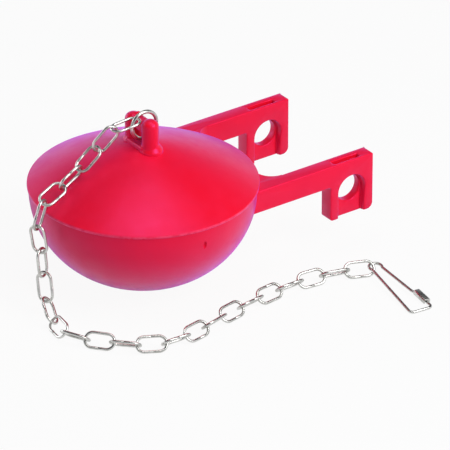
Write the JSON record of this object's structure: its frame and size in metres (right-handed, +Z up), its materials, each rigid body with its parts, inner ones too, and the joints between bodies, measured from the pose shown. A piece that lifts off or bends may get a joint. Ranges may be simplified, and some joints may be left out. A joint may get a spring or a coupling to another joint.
{
  "type": "toilet flapper",
  "caption": "Soft flush-valve flapper: domed float bulb with an eye on top, two hinge arms with drop ears, and a lift chain ending in a spring clip.",
  "frame": {"origin": "on the ground, midway along the moulding and between its arms", "axes": "+Z up along the bulb's axis, +Y from the bulb towards the ears, +X across the arms"},
  "size_m": [0.1273, 0.1381, 0.0683],
  "materials": {
    "soft_moulding": "satin, slightly glossy soft moulding",
    "steel_wire": "bright drawn wire"
  },
  "bodies": {
    "root": {"flapper_body": "soft_moulding", "chain_ring": "steel_wire", "chain_link_01": "steel_wire", "chain_link_02": "steel_wire", "chain_link_03": "steel_wire", "chain_link_04": "steel_wire", "chain_link_05": "steel_wire", "chain_link_06": "steel_wire", "chain_link_07": "steel_wire", "chain_link_08": "steel_wire", "chain_link_09": "steel_wire", "chain_link_10": "steel_wire", "chain_link_11": "steel_wire", "chain_link_12": "steel_wire", "chain_link_13": "steel_wire", "chain_link_14": "steel_wire", "chain_link_15": "steel_wire", "chain_link_16": "steel_wire", "chain_link_17": "steel_wire", "chain_link_18": "steel_wire", "chain_link_19": "steel_wire", "chain_link_20": "steel_wire", "chain_link_21": "steel_wire", "chain_link_22": "steel_wire", "chain_link_23": "steel_wire", "chain_link_24": "steel_wire", "chain_link_25": "steel_wire", "spring_clip": "steel_wire"}
  },
  "joints": []
}
